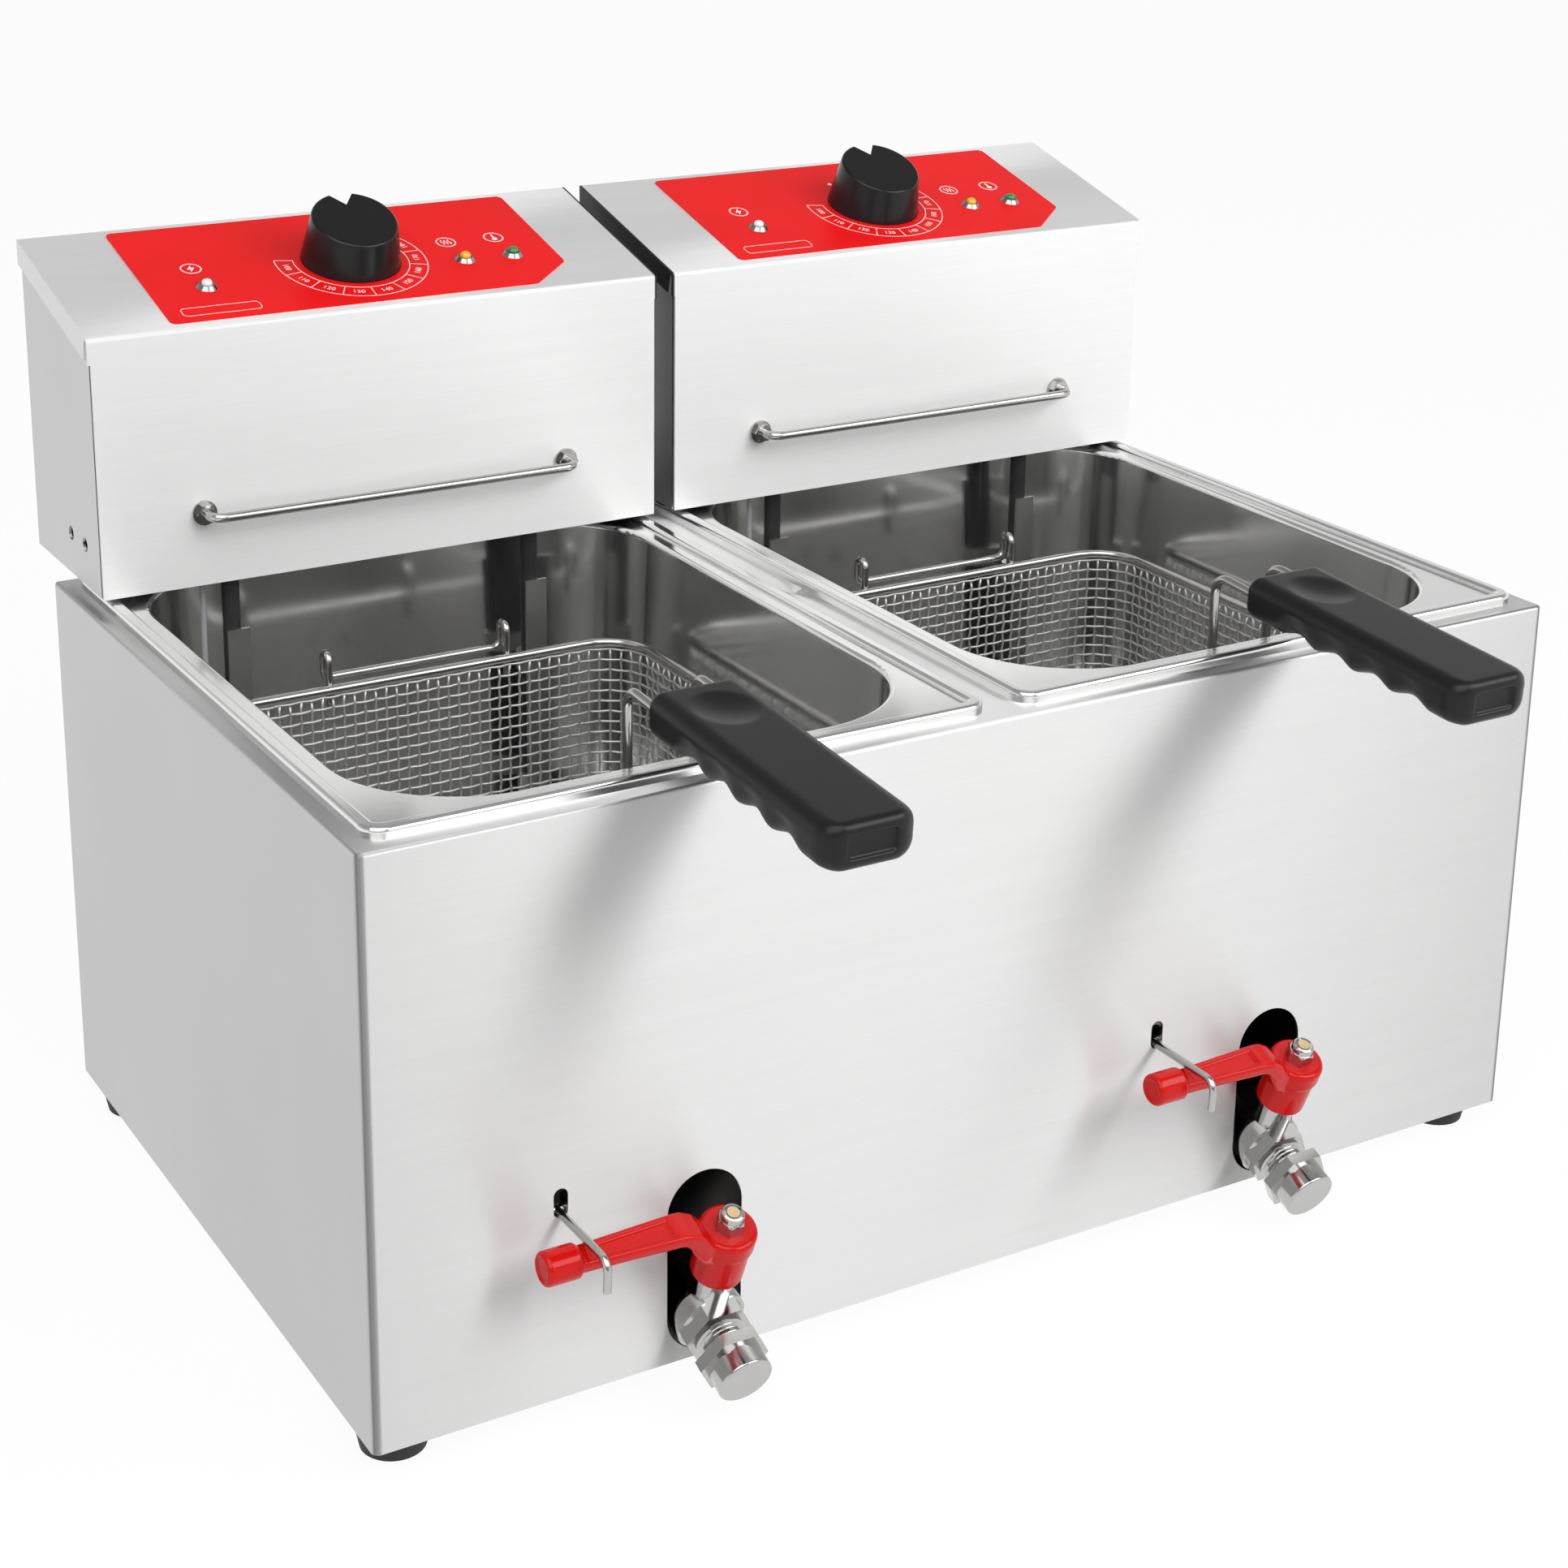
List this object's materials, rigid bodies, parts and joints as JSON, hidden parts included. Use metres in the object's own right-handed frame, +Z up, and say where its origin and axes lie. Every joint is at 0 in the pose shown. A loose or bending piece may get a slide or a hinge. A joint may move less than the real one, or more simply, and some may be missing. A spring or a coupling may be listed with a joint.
{
  "type": "deep fryer",
  "caption": "Countertop commercial deep fryer with side-by-side tanks, lift-off control heads with knobs, wire baskets with grips, and drain taps with locking levers.",
  "frame": {"origin": "middle of the fryer's outline, on the floor under the feet", "axes": "+X across the front to the right, +Y from the front to the back, +Z up"},
  "size_m": [0.56, 0.5135, 0.4147],
  "materials": {
    "steel_panel": "brushed sheet",
    "tank_steel": "drawn sheet, semi-bright",
    "head_steel": "brushed sheet",
    "red_film": "printed film",
    "lamp_lens": "clear, amber and green lenses",
    "bright_metal": "plated",
    "black_plastic": "fine texture",
    "grey_plastic": "moulded",
    "red_plastic": "gloss",
    "brass": "plain",
    "wire": "bright wire",
    "mesh": "woven wire",
    "heater": "dark oxide",
    "rubber": "matt"
  },
  "bodies": {
    "cabinet": {"cabinet_shell": "steel_panel", "cabinet_back": "steel_panel", "cabinet_floor": "steel_panel", "feet": "rubber", "head_rail": "steel_panel", "hook_clips": "steel_panel", "left_tank": "tank_steel", "left_drain_pipe": "bright_metal", "left_valve_body": "bright_metal", "right_tank": "tank_steel", "right_drain_pipe": "bright_metal", "right_valve_body": "bright_metal"},
    "left_head": {"left_head_shell": "head_steel", "left_head_cover": "head_steel", "left_control_film": "red_film", "left_lamps": "lamp_lens", "left_lamp_bezels": "bright_metal", "left_hanger_bar": "wire", "left_hanger_nuts": "bright_metal", "left_thermostat": "grey_plastic", "left_terminal_block": "grey_plastic", "left_cable_gland": "black_plastic", "left_element": "heater", "left_element_guard": "mesh", "left_head_pads": "rubber"},
    "left_knob": {"left_knob": "black_plastic", "left_knob_shaft": "bright_metal"},
    "left_basket": {"left_basket_mesh": "mesh", "left_basket_frame": "wire", "left_basket_grip": "black_plastic"},
    "left_lever": {"left_lever": "red_plastic", "left_valve_ball": "brass", "left_stem_nut": "bright_metal"},
    "left_hook": {"left_lock_hook": "wire"},
    "left_cap": {"left_drain_cap": "bright_metal"},
    "right_head": {"right_head_shell": "head_steel", "right_head_cover": "head_steel", "right_control_film": "red_film", "right_lamps": "lamp_lens", "right_lamp_bezels": "bright_metal", "right_hanger_bar": "wire", "right_hanger_nuts": "bright_metal", "right_thermostat": "grey_plastic", "right_terminal_block": "grey_plastic", "right_cable_gland": "black_plastic", "right_element": "heater", "right_element_guard": "mesh", "right_head_pads": "rubber"},
    "right_knob": {"right_knob": "black_plastic", "right_knob_shaft": "bright_metal"},
    "right_basket": {"right_basket_mesh": "mesh", "right_basket_frame": "wire", "right_basket_grip": "black_plastic"},
    "right_lever": {"right_lever": "red_plastic", "right_valve_ball": "brass", "right_stem_nut": "bright_metal"},
    "right_hook": {"right_lock_hook": "wire"},
    "right_cap": {"right_drain_cap": "bright_metal"}
  },
  "joints": [
    {"name": "left_head_lift", "type": "slide", "parent": "cabinet", "child": "left_head", "axis": [0, 0, 1], "range_m": [0, 0.2]},
    {"name": "left_basket_lift", "type": "slide", "parent": "left_head", "child": "left_basket", "axis": [0, 0, 1], "range_m": [0, 0.17]},
    {"name": "left_knob_turn", "type": "hinge", "parent": "left_head", "child": "left_knob", "pos_m": [-0.1381, 0.18697, 0.38585], "axis": [0, 0.2639, -0.9646], "range_deg": [0, 280]},
    {"name": "left_lever_turn", "type": "hinge", "parent": "cabinet", "child": "left_lever", "pos_m": [-0.14, -0.14434, 0.0315], "axis": [0, -0.3746, 0.9272], "range_deg": [0, 90]},
    {"name": "left_hook_lift", "type": "hinge", "parent": "cabinet", "child": "left_hook", "pos_m": [-0.202, -0.14054, 0.0913], "axis": [-1, 0, 0], "range_deg": [0, 60]},
    {"name": "left_cap_off", "type": "slide", "parent": "cabinet", "child": "left_cap", "axis": [0, -0.9272, -0.3746], "range_m": [0, 0.03]},
    {"name": "right_head_lift", "type": "slide", "parent": "cabinet", "child": "right_head", "axis": [0, 0, 1], "range_m": [0, 0.2]},
    {"name": "right_basket_lift", "type": "slide", "parent": "right_head", "child": "right_basket", "axis": [0, 0, 1], "range_m": [0, 0.17]},
    {"name": "right_knob_turn", "type": "hinge", "parent": "right_head", "child": "right_knob", "pos_m": [0.1419, 0.18697, 0.38585], "axis": [0, 0.2639, -0.9646], "range_deg": [0, 280]},
    {"name": "right_lever_turn", "type": "hinge", "parent": "cabinet", "child": "right_lever", "pos_m": [0.14, -0.14434, 0.0315], "axis": [0, -0.3746, 0.9272], "range_deg": [0, 90]},
    {"name": "right_hook_lift", "type": "hinge", "parent": "cabinet", "child": "right_hook", "pos_m": [0.078, -0.14054, 0.0913], "axis": [-1, 0, 0], "range_deg": [0, 60]},
    {"name": "right_cap_off", "type": "slide", "parent": "cabinet", "child": "right_cap", "axis": [0, -0.9272, -0.3746], "range_m": [0, 0.03]}
  ],
  "couplings": [
    {"joint": "left_hook_lift", "follows": "left_lever_turn", "ratio": 0.66667},
    {"joint": "right_hook_lift", "follows": "right_lever_turn", "ratio": 0.66667}
  ]
}
